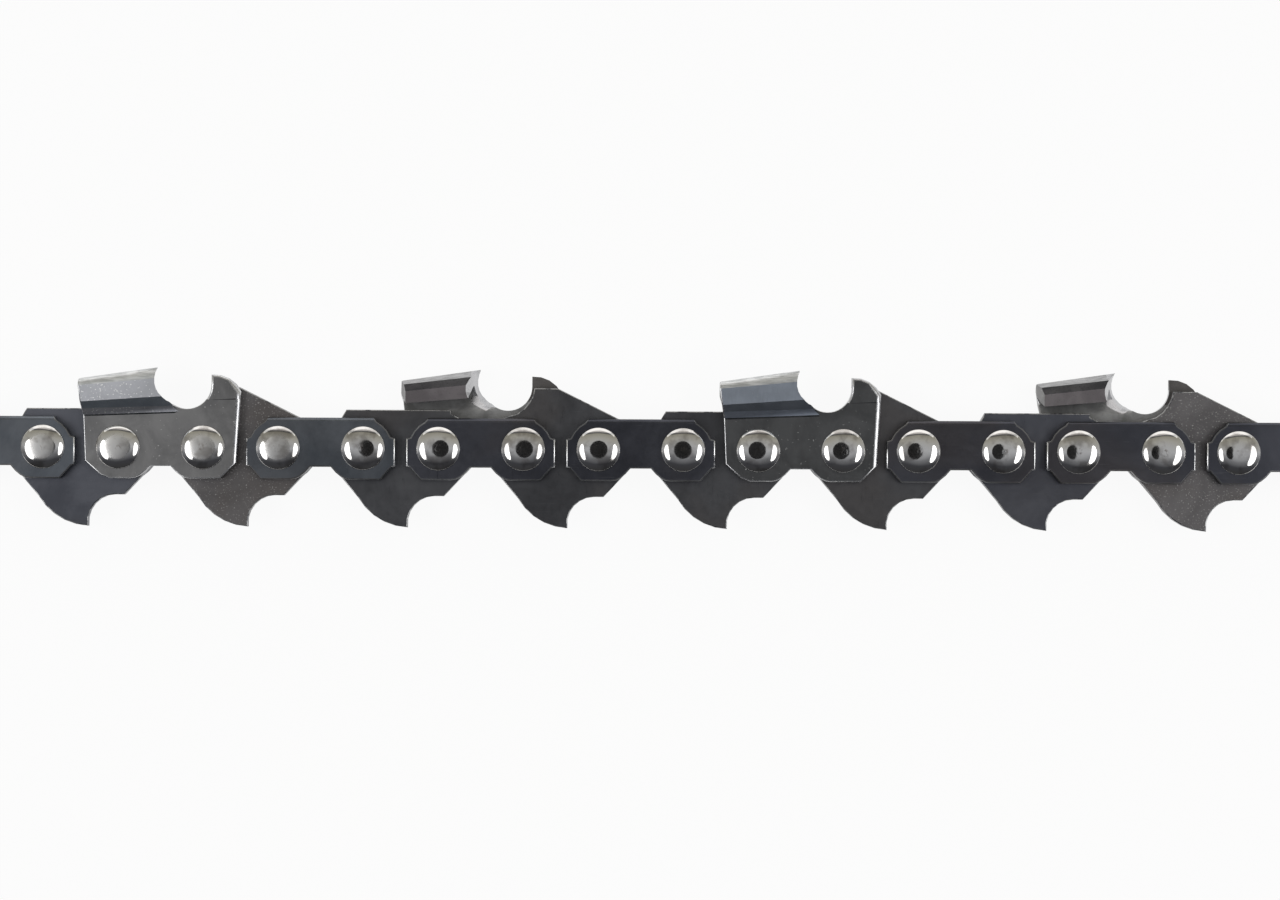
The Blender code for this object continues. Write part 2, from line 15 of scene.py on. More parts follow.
import bmesh
import bpy
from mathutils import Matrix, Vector

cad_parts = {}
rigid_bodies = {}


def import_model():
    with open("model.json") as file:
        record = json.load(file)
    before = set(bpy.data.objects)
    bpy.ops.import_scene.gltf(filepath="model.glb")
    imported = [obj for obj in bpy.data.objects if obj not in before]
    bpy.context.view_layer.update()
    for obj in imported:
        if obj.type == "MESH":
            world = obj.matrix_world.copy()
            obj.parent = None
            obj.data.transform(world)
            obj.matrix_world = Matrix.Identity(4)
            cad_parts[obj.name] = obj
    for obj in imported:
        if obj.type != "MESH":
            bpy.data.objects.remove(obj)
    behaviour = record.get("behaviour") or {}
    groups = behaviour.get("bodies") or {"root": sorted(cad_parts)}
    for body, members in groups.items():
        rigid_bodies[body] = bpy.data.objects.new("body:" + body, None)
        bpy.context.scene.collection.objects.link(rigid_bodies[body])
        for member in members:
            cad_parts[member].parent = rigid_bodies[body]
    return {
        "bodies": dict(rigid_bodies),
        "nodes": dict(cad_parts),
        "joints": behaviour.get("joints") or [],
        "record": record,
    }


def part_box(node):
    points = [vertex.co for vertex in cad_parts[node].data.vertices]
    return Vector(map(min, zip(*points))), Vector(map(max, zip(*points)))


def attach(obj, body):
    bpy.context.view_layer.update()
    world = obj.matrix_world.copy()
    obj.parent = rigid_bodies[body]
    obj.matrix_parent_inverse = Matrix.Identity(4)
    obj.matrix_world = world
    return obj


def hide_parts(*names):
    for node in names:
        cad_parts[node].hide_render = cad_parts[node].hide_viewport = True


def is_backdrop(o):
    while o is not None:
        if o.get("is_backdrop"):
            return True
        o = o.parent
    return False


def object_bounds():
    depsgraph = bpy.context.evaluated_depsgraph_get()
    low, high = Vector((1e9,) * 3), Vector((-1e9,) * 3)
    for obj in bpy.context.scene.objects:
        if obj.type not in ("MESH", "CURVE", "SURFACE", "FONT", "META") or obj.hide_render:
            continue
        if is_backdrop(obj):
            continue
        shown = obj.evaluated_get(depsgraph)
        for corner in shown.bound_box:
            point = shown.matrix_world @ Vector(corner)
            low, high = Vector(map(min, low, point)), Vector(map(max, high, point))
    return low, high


log = logging.getLogger("saw_chain")

Colour = tuple[float, float, float]
Socket = bpy.types.NodeSocket
Face = bpy.types.MeshPolygon
Share = Callable[[bmesh.types.BMEdge], float]

MM = 0.001
WELD = 1e-6
CLOSE = 0.0001
FLAT_TURN = 0.5
RIM_TURN = 55.0
RIM_STEPS = 3
FLAT_WEIGHT = 80
EDGE_SLOT = 1
LONG_RIM_SLOT = 2
HEAD_MAP = "head"

# How much of a unit normal has to point along an axis for its face to count as turned there.
SLIGHT, LEANING, HALF, STRAIGHT = 0.05, 0.3, 0.5, 0.9


class Recipe:
    """Writes one node material step by step."""

    def __init__(self, name: str) -> None:
        """Starts a material of that name, with a Principled shader."""
        self.material = bpy.data.materials.new(name)
        self.material.use_nodes = True
        self.tree = self.material.node_tree
        self.shader = self.tree.nodes["Principled BSDF"]
        self.place = self.tree.nodes.new("ShaderNodeTexCoord").outputs["Object"]

    def node(self, kind: str, inputs: dict[str | int, object], **settings: object) -> bpy.types.Node:
        """Adds a node.

        Args:
            kind: The node's type, without the ShaderNode prefix.
            inputs: What goes into its sockets: another socket, or a plain value.
            **settings: The node's own properties.

        Returns:
            The new node.
        """
        made = self.tree.nodes.new("ShaderNode" + kind)
        for key, value in settings.items():
            setattr(made, key, value)
        for key, value in inputs.items():
            self.plug(made.inputs[key], value)
        return made

    def plug(self, socket: Socket, value: object) -> None:
        """Links something into a socket, or sets it to a plain value or colour."""
        if isinstance(value, bpy.types.NodeSocket):
            self.tree.links.new(value, socket)
        elif isinstance(value, tuple) and socket.type == "RGBA":
            socket.default_value = (*value, 1.0)
        else:
            socket.default_value = value

    def stretched(self, factors: Sequence[float], turn: float = 0.0) -> Socket:
        """Object coordinates turned about Z and scaled, for grain that runs one way."""
        return self.node("Mapping", {"Vector": self.place, "Rotation": (0, 0, turn),
                                     "Scale": tuple(factors)}).outputs["Vector"]

    def noise(self, grain: float, detail: float = 3.0, rough: float = 0.55,
              place: Socket | None = None, bend: float = 0.0) -> Socket:
        """Noise whose features are about the given size.

        Args:
            grain: Size of a feature in metres.
            detail: Octaves.
            rough: How strong each finer octave is.
            place: Coordinates, or none for Object coordinates.
            bend: Distortion.

        Returns:
            The factor socket.
        """
        made = self.node("TexNoise", {"Vector": place or self.place, "Scale": 1 / grain,
                                      "Detail": detail, "Roughness": rough, "Distortion": bend})
        return made.outputs["Fac"]

    def step(self, value: Socket, low: float, high: float, start: float = 0.0,
             end: float = 1.0) -> Socket:
        """A smooth step of value from start, at low, to end, at high."""
        made = self.node("MapRange", {"Value": value, "From Min": low, "From Max": high,
                                      "To Min": start, "To Max": end},
                         interpolation_type="SMOOTHSTEP")
        return made.outputs["Result"]

    def calc(self, kind: str, first: Socket | float, second: Socket | float) -> Socket:
        """The result of a Math node of that kind."""
        return self.node("Math", {0: first, 1: second}, operation=kind).outputs[0]

    def around(self, middle: float, spread: float, value: Socket) -> Socket:
        """A number that lies round the middle, spread that far as the value goes from 0 to 1."""
        return self.calc("ADD", self.calc("MULTIPLY", value, spread), middle - spread / 2)

    def mix(self, share: Socket | float, first: object, second: object) -> Socket:
        """A colour between two, each a socket or a plain colour."""
        made = self.tree.nodes.new("ShaderNodeMix")
        made.data_type = "RGBA"
        for name, value in (("Factor_Float", share), ("A_Color", first), ("B_Color", second)):
            self.plug(next(s for s in made.inputs if s.identifier == name), value)
        return next(s for s in made.outputs if s.identifier == "Result_Color")

    def bump(self, height: Socket, depth: float, share: float) -> None:
        """Gives the surface relief.

        Args:
            height: Height from 0 to 1.
            depth: Height of the relief in metres.
            share: Strength.
        """
        made = self.node("Bump", {"Height": height, "Distance": depth, "Strength": share})
        self.plug(self.shader.inputs["Normal"], made.outputs["Normal"])

    def coat(self, tone: object, roughness: Socket | float, metallic: float = 0.0) -> None:
        """Sets the surface's colour, roughness and share of metal."""
        for name, value in (("Base Color", tone), ("Roughness", roughness), ("Metallic", metallic)):
            self.plug(self.shader.inputs[name], value)


class Tone(IntEnum):
    """How a piece of sheet steel came out of the bluing bath."""

    PLAIN = 0
    BLUISH = 1
    RUBBED = 2


class Skin(IntEnum):
    """Finishes of a cutter, in the order of its material slots."""

    PLATE = 0
    EDGE = EDGE_SLOT
    GROUND = 2
    CORNER = 3
    BAND = 4
    INSIDE = 5
    PITTED = 6
    FREE_END = 7
    FOLD = 8
    CREASE = 9
    GAUGE_BACK = 10


@dataclass(frozen=True)
class Finish:
    """A finish, whose kinds each write their own recipe."""

    name: str

    def material(self) -> bpy.types.Material:
        """Makes the material."""
        recipe = Recipe(self.name)
        self.write(recipe)
        return recipe.material

    def write(self, recipe: Recipe) -> None:
        """Writes the recipe."""
        raise NotImplementedError


@dataclass(frozen=True)
class BluedSteel(Finish):
    """Blackened sheet steel with tumbling marks, rubbed tones and bright specks."""

    dark: Colour = (0.086, 0.087, 0.094)
    pale: Colour = (0.134, 0.136, 0.145)
    stain: Colour = (0.136, 0.120, 0.112)
    stain_share: float = 0.35
    scratched: Colour = (0.16, 0.165, 0.175)
    speck: Colour = (0.42, 0.41, 0.40)
    specks: float = 0.0
    metallic: float = 0.92
    roughness: float = 0.40

    def write(self, steel: Recipe) -> None:
        """Writes the recipe."""
        cloud = steel.noise(9 * MM, detail=4, rough=0.6, bend=0.6)
        patch = steel.noise(16 * MM, detail=3, rough=0.5, bend=0.4)
        fleck = steel.noise(0.17 * MM, detail=2, rough=0.5)
        scratch = steel.noise(1.6 * MM, rough=0.6, place=steel.stretched((0.35, 9, 9), 0.35))
        across = steel.noise(1.2 * MM, rough=0.6, place=steel.stretched((8, 0.4, 8), -0.2))
        tone = steel.mix(steel.step(cloud, 0.32, 0.68), self.dark, self.pale)
        tone = steel.mix(steel.step(patch, 0.48, 0.64, end=self.stain_share), tone, self.stain)
        tone = steel.mix(steel.step(scratch, 0.66, 0.74, end=0.35), tone, self.scratched)
        tone = steel.mix(steel.step(fleck, 0.63, 0.69, end=self.specks), tone, self.speck)
        mottle = steel.around(self.roughness, 0.16, steel.noise(0.8 * MM))
        rubbed = steel.step(across, 0.60, 0.75, end=0.12)
        steel.coat(tone, steel.calc("SUBTRACT", mottle, rubbed), self.metallic)
        relief = steel.calc("ADD", fleck, steel.calc("MULTIPLY", scratch, 0.5))
        steel.bump(relief, 0.006 * MM, 0.6)


@dataclass(frozen=True)
class HardChrome(Finish):
    """Thin hard chrome on a stamped cutter: satin, a little mottled, with bright specks."""

    dark: Colour = (0.158, 0.157, 0.157)
    pale: Colour = (0.236, 0.233, 0.232)
    speck: Colour = (0.70, 0.70, 0.69)
    specks: float = 0.9
    speck_level: float = 0.80
    roughness: float = 0.40

    def write(self, chrome: Recipe) -> None:
        """Writes the recipe."""
        cloud = chrome.noise(5 * MM, detail=4, rough=0.62, bend=0.5)
        grain = chrome.noise(0.7 * MM, detail=4, rough=0.6, place=chrome.stretched((3.5, 0.7, 3.5)))
        pits = chrome.noise(0.24 * MM, detail=1, rough=0.5)
        crowd = chrome.noise(4 * MM, detail=2, rough=0.5)
        tone = chrome.mix(chrome.step(cloud, 0.30, 0.70), self.dark, self.pale)
        tone = chrome.mix(chrome.step(grain, 0.55, 0.8, end=0.4), tone, self.pale)
        crowded = chrome.calc("ADD", pits, chrome.calc("MULTIPLY", crowd, 0.10))
        bright = chrome.step(crowded, self.speck_level, self.speck_level + 0.03, end=self.specks)
        tone = chrome.mix(bright, tone, self.speck)
        chrome.coat(tone, chrome.around(self.roughness, 0.14, grain), 1.0)
        chrome.bump(chrome.calc("ADD", grain, pits), 0.003 * MM, 0.5)


@dataclass(frozen=True)
class BrushedAndLitCorner(Finish):
    """Chrome on the cutter's rounded corner, brushed along the cutter by tumbling, its pale tone a
    painted highlight for the light that the corner catches from +Y.
    """

    dark: Colour = (0.50, 0.51, 0.51)
    pale: Colour = (0.74, 0.75, 0.75)
    metallic: float = 0.9
    roughness: float = 0.42

    def write(self, corner: Recipe) -> None:
        """Writes the recipe."""
        streaks = corner.noise(0.9 * MM, detail=4, rough=0.6, place=corner.stretched((0.4, 5, 5), 0.08))
        cloud = corner.noise(2.0 * MM, rough=0.5)
        tone = corner.mix(corner.step(streaks, 0.38, 0.62), self.dark, self.pale)
        tone = corner.mix(corner.step(cloud, 0.45, 0.8), tone, self.pale)
        corner.coat(tone, corner.around(self.roughness, 0.16, streaks), self.metallic)
        corner.bump(streaks, 0.004 * MM, 0.4)


@dataclass(frozen=True)
class DullSteel(Finish):
    """Dull, pitted steel of the faces that no polishing reached; made nearly black, it also serves as
    painted shade on the shoulder strip and the crease line.
    """

    dark: Colour = (0.185, 0.185, 0.184)
    pale: Colour = (0.345, 0.345, 0.345)
    pit: Colour = (0.10, 0.10, 0.10)
    pits: float = 0.35
    metallic: float = 0.45
    roughness: float = 0.50

    def write(self, steel: Recipe) -> None:
        """Writes the recipe."""
        cloud = steel.noise(3.5 * MM, detail=4, rough=0.6, bend=0.4)
        grain = steel.noise(0.22 * MM, rough=0.6)
        tone = steel.mix(steel.step(cloud, 0.34, 0.66), self.dark, self.pale)
        tone = steel.mix(steel.step(grain, 0.56, 0.74, end=self.pits), tone, self.pit)
        steel.coat(tone, steel.around(self.roughness, 0.2, grain), self.metallic)
        steel.bump(grain, 0.008 * MM, 0.6)


@dataclass(frozen=True)
class GroundSteel(Finish):
    """Steel bared by a wheel or a file, with the fine lines that it leaves."""

    dark: Colour = (0.36, 0.36, 0.37)
    pale: Colour = (0.50, 0.50, 0.51)
    roughness: float = 0.30

    def write(self, steel: Recipe) -> None:
        """Writes the recipe."""
        lines = steel.noise(0.35 * MM, detail=2, rough=0.5, place=steel.stretched((3, 3, 0.3)))
        cloud = steel.noise(2.5 * MM, rough=0.5)
        tone = steel.mix(steel.step(lines, 0.25, 0.75), self.dark, self.pale)
        tone = steel.mix(steel.step(cloud, 0.4, 0.75), tone, self.pale)
        steel.coat(tone, steel.around(self.roughness, 0.2, lines), 1.0)
        steel.bump(lines, 0.005 * MM, 0.5)


@dataclass(frozen=True)
class WornAndLitEdge(Finish):
    """Edge rubbed bright by tumbling and use, with some of the coat left in its dips; its bright tone
    is also a painted highlight for the light that the rolled rims catch.
    """

    bare: Colour = (0.36, 0.36, 0.36)
    coated: Colour = (0.10, 0.102, 0.11)
    bared: float = 0.5
    roughness: float = 0.28

    def write(self, edge: Recipe) -> None:
        """Writes the recipe."""
        wear = edge.noise(1.8 * MM, detail=4, rough=0.65)
        nicks = edge.noise(0.25 * MM, detail=2, rough=0.5)
        level = 0.62 - 0.3 * self.bared
        tone = edge.mix(edge.step(wear, level, level + 0.10), self.coated, self.bare)
        tone = edge.mix(edge.step(nicks, 0.62, 0.72), tone, self.bare)
        edge.coat(tone, edge.around(self.roughness, 0.2, nicks), 1.0)
        edge.bump(nicks, 0.004 * MM, 0.5)


@dataclass(frozen=True)
class SpunDome(Finish):
    """Bright rivet head with the small rough mark that the spinning tool left in its middle.

    The piece's UV map runs from 0 to 1 over the head, so that the middle is at 0.5, 0.5.
    A scoured head is also rougher out to scour_reach, a share of its radius.
    """

    bright: Colour = (0.66, 0.65, 0.635)
    dull: Colour = (0.40, 0.385, 0.37)
    mark: Colour = (0.30, 0.27, 0.25)
    mark_reach: float = 0.22
    scour: float = 0.0
    scour_reach: float = 0.66

    def write(self, dome: Recipe) -> None:
        """Writes the recipe."""
        spread = dome.node("UVMap", {}, uv_map=HEAD_MAP).outputs["UV"]
        centred = dome.node("VectorMath", {0: spread, 1: (0.5, 0.5, 0.0)}, operation="SUBTRACT")
        radius = dome.node("VectorMath", {0: centred.outputs["Vector"]}, operation="LENGTH")
        reach = dome.calc("MULTIPLY", radius.outputs["Value"], 2.0)
        wobble = dome.calc("MULTIPLY", dome.noise(1.5 * MM, rough=0.6), 0.5)
        ragged = dome.calc("ADD", reach, dome.calc("SUBTRACT", wobble, 0.25))
        inside = dome.step(ragged, self.mark_reach, self.mark_reach - 0.14)
        scrapes = dome.noise(0.42 * MM, rough=0.6, place=dome.stretched((1.0, 0.6, 1.0), 0.7), bend=1.4)
        haze = dome.noise(2.2 * MM)
        scraped = dome.calc("MULTIPLY", dome.step(scrapes, 0.50, 0.62), inside)
        tone = dome.mix(dome.step(haze, 0.46, 0.66), self.bright, self.dull)
        tone = dome.mix(dome.calc("MULTIPLY", scraped, 0.8), tone, self.mark)
        fine = dome.calc("MULTIPLY", dome.noise(0.35 * MM, rough=0.6), 0.05)
        rough = dome.calc("ADD", fine, dome.step(haze, 0.44, 0.68, 0.045, 0.10))
        if self.scour:
            scoured = dome.step(reach, self.scour_reach - 0.16, self.scour_reach, self.scour, 0.0)
            rough = dome.calc("ADD", rough, scoured)
        dome.coat(tone, dome.calc("ADD", rough, dome.calc("MULTIPLY", scraped, 0.07)), 1.0)
        dome.bump(dome.calc("MULTIPLY", scrapes, inside), 0.015 * MM, 0.5)


@dataclass(frozen=True)
class PaleFloor(Finish):
    """Plain matt floor, which shows as nearly white and keeps a faint shadow."""

    name: str = "pale_floor"
    colour: Colour = (0.84, 0.84, 0.835)
    roughness: float = 0.75
    white: float = 0.93

    def write(self, floor: Recipe) -> None:
        """Writes the recipe."""
        floor.coat(self.colour, self.roughness)
        rays = floor.node("LightPath", {}).outputs
        seen = floor.calc("MAXIMUM", rays["Is Camera Ray"],
                          floor.calc("MAXIMUM", rays["Is Glossy Ray"], rays["Is Transmission Ray"]))
        glow = floor.node("Emission", {"Strength": 1.0}).outputs["Emission"]
        share = floor.calc("MULTIPLY", seen, self.white)
        shown = floor.node("MixShader", {0: share, 1: floor.shader.outputs["BSDF"], 2: glow})
        end = floor.tree.nodes["Material Output"].inputs["Surface"]
        floor.tree.links.new(shown.outputs["Shader"], end)


@dataclass(frozen=True)
class BlackCard(Finish):
    """Black card."""

    name: str = "black_card"
    colour: Colour = (0.012, 0.012, 0.013)
    roughness: float = 0.9

    def write(self, card: Recipe) -> None:
        """Writes the recipe."""
        card.coat(self.colour, self.roughness)


def pick(item: bpy.types.Object) -> None:
    """Selects one object alone and makes it the active one."""
    bpy.ops.object.select_all(action="DESELECT")
    bpy.context.view_layer.objects.active = item
    item.select_set(True)


def add(name: str, data: bpy.types.ID) -> bpy.types.Object:
    """A new object in the scene."""
    made = bpy.data.objects.new(name, data)
    bpy.context.scene.collection.objects.link(made)
    return made


def roll_rims(piece: bpy.types.Object, width: float, share: Share) -> None:
    """Rounds rims, and gives the rounded faces the material in the edge slot.

    Args:
        piece: The piece.
        width: Width of the widest rounding.
        share: Says which share of that width an edge gets, from 0 to 1.
    """
    shape = bmesh.new()
    shape.from_mesh(piece.data)
    weights = shape.edges.layers.float.new("bevel_weight_edge")
    for edge in shape.edges:
        if len(edge.link_faces) == 2 and edge.calc_face_angle_signed() > math.radians(RIM_TURN):
            edge[weights] = share(edge)
    shape.to_mesh(piece.data)
    shape.free()
    pick(piece)
    roll = piece.modifiers.new("rolled_rims", "BEVEL")
    roll.limit_method = "WEIGHT"
    roll.width = width
    roll.segments = RIM_STEPS
    roll.use_clamp_overlap = False
    roll.loop_slide = False
    roll.material = EDGE_SLOT
    bpy.ops.object.modifier_apply(modifier=roll.name)


def settle_shading(piece: bpy.types.Object, turn: float = 40.0) -> None:
    """Smooth shading that leaves the flat faces flat."""
    pick(piece)
    bpy.ops.object.shade_smooth_by_angle(angle=math.radians(turn), keep_sharp_edges=True)
    flatten = piece.modifiers.new("flat_faces", "WEIGHTED_NORMAL")
    flatten.keep_sharp = True
    flatten.weight = FLAT_WEIGHT
    bpy.ops.object.modifier_apply(modifier=flatten.name)


class Bench:
    """Copies nodes of the frame and works on them as loose pieces."""

    def __init__(self, frame: dict) -> None:
        record = frame["record"]
        self.nodes = frame["nodes"]
        self.slots = {part["node"]: part["material_slot"] for part in record["subparts"]}
        self.bodies = {node: body for body, nodes in record["behaviour"]["bodies"].items()
                       for node in nodes}
        self.rivet_line = Vector(record["behaviour"]["joints"][0]["pos_m"])

    def names(self, *words: str) -> list[str]:
        """The nodes whose name starts with one of the words, in order."""
        return sorted(name for name in self.nodes if name.startswith(words))

    def link_number(self, node: str) -> int:
        """The number of the link or rivet that a node is."""
        return next(int(word) for word in node.split("_") if word.isdigit())

    def copy(self, node: str, name: str) -> bpy.types.Object:
        """A welded copy of a node's mesh, its flat faces made whole.

        Args:
            node: The node to copy.
            name: The new piece's name.

        Returns:
            The piece, picked.
        """
        piece = add(name, self.nodes[node].data.copy())
        piece.data.materials.clear()
        pick(piece)
        bpy.ops.object.mode_set(mode="EDIT")
        bpy.ops.mesh.select_all(action="SELECT")
        bpy.ops.mesh.remove_doubles(threshold=WELD)
        bpy.ops.mesh.dissolve_limited(angle_limit=math.radians(FLAT_TURN))
        bpy.ops.object.mode_set(mode="OBJECT")
        return piece

    def hand_over(self, piece: bpy.types.Object, node: str) -> None:
        """Lets a finished piece stand for its node and ride on the node's body."""
        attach(piece, self.bodies[node])
        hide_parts(node)
        log.info("%s: %d faces", piece.name, len(piece.data.polygons))


@dataclass
class Plates:
    """Stamped plates of one kind: a softly rolled rim on the outer face, a sharp inner one.

    The rims within lit_and_worn_depth of a plate's ends get the edge finish, a painted highlight partly
    from wear, and the others get long_rim, or else the plate's own steel.
    """

    bench: Bench
    word: str
    steels: Mapping[Tone, BluedSteel]
    tones: Mapping[int, Tone]
    edge: WornAndLitEdge
    half_span: float
    hole_radius: float
    roll: float = 0.00018
    inner_share: float = 0.4
    lit_and_worn_depth: float = 1.0
    long_rim: BluedSteel | None = None

    def build(self) -> None:
        """Copies each node, dresses it and rounds its rims."""
        finishes = {tone: steel.material() for tone, steel in self.steels.items()}
        edge = self.edge.material()
        long_rim = self.long_rim.material() if self.long_rim else None
        for node in self.bench.names(self.word):
            piece = self.blank(node)
            steel = finishes[self.tones.get(self.bench.link_number(node), Tone.PLAIN)]
            for finish in (steel, edge, long_rim or steel):
                piece.data.materials.append(finish)
            roll_rims(piece, self.roll, self.shares(node))
            self.part_rims(piece, node)
            settle_shading(piece)
            self.bench.hand_over(piece, node)

    def blank(self, node: str) -> bpy.types.Object:
        """The bare plate for a node."""
        return self.bench.copy(node, node + "_plate")

    def part_rims(self, piece: bpy.types.Object, node: str) -> None:
        """Moves the rims away from the plate's two ends to the slot for long rims."""
        low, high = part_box(node)
        for face in piece.data.polygons:
            depth = min(face.center.x - low.x, high.x - face.center.x)
            if face.material_index == EDGE_SLOT and depth > self.lit_and_worn_depth:
                face.material_index = LONG_RIM_SLOT

    def shares(self, node: str) -> Share:
        """How wide each rim of a node is rolled: not at the holes, and less inside."""
        low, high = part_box(node)
        centre = (low + high) / 2
        line = self.bench.rivet_line
        outer = {"right": 1, "left": -1}.get(node.rsplit("_", 1)[-1], 0)

        def share(edge: bmesh.types.BMEdge) -> float:
            place = (edge.verts[0].co + edge.verts[1].co) / 2
            across = min(math.hypot(place.x - centre.x - x, place.y - line.y)
                         for x in (-self.half_span, self.half_span))
            if across < self.hole_radius + CLOSE or abs(place.z - centre.z) < CLOSE:
                return 0.0
            return 1.0 if outer == 0 or (place.z - centre.z) * outer > 0 else self.inner_share

        return share


@dataclass
class Bumpers(Plates):
    """Drive links with a guard, whose hollow edge lies close behind the cutter's gullet."""

    side_half_span: float = 0.004945
    gullet: tuple[float, float] = (0.00308, 0.00730)
    hollow_radius: float = 0.00350
    hollow_error: float = 0.00002
    closer: float = 0.00036
    low_turn: float = -84.0
    high_turn: float = -40.0

    def blank(self, node: str) -> bpy.types.Object:
        """The bare plate, its hollow edge drawn in towards the gullet, most at its upper end."""
        piece = super().blank(node)
        rivet = sum(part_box(f"rivet_{2 * self.bench.link_number(node) - 1:02d}"), Vector()) / 2
        centre = Vector((rivet.x - self.side_half_span + self.gullet[0], rivet.y + self.gullet[1]))
        for vertex in piece.data.vertices:
            arm = vertex.co.xy - centre
            if abs(arm.length - self.hollow_radius) < self.hollow_error and arm.x > 0:
                turn = math.degrees(math.atan2(arm.y, arm.x))
                share = min(1.0, max(0.0, (turn - self.low_turn) / (self.high_turn - self.low_turn)))
                vertex.co.xy -= arm.normalized() * self.closer * share
        return piece


@dataclass(frozen=True)
class Seat:
    """Where a cutter stands, and its hand, so that each is measured as a right-hand one."""

    piece: bpy.types.Object
    origin: Vector
    hand: int

    def local(self, place: Vector) -> Vector:
        """A place in the cutter's own frame."""
        here = place - self.origin
        return Vector((here.x, here.y, here.z * self.hand))

    def corners(self, item: Face | bpy.types.MeshEdge) -> list[Vector]:
        """The corners of a face, or the ends of an edge, in the cutter's own frame."""
        return [self.local(self.piece.data.vertices[i].co) for i in item.vertices]

    def facing(self, face: Face) -> Vector:
        """A face's normal in the cutter's own frame."""
        return Vector((face.normal.x, face.normal.y, face.normal.z * self.hand))

    def cut(self, chosen: Callable[[Face], bool], place: Vector, across: Sequence[float]) -> None:
        """Cuts faces of the piece along a plane.

        Args:
            chosen: Says which faces are cut.
            place: A place on the plane, in the cutter's own frame.
            across: The plane's normal.
        """
        pick(self.piece)
        bpy.ops.object.mode_set(mode="EDIT")
        bpy.ops.mesh.select_mode(type="FACE")
        bpy.ops.mesh.select_all(action="DESELECT")
        bpy.ops.object.mode_set(mode="OBJECT")
        for face in self.piece.data.polygons:
            face.select = chosen(face)
        bpy.ops.object.mode_set(mode="EDIT")
        point = self.origin + Vector((place.x, place.y, place.z * self.hand))
        bpy.ops.mesh.bisect(plane_co=point, plane_no=across, threshold=WELD)
        bpy.ops.object.mode_set(mode="OBJECT")


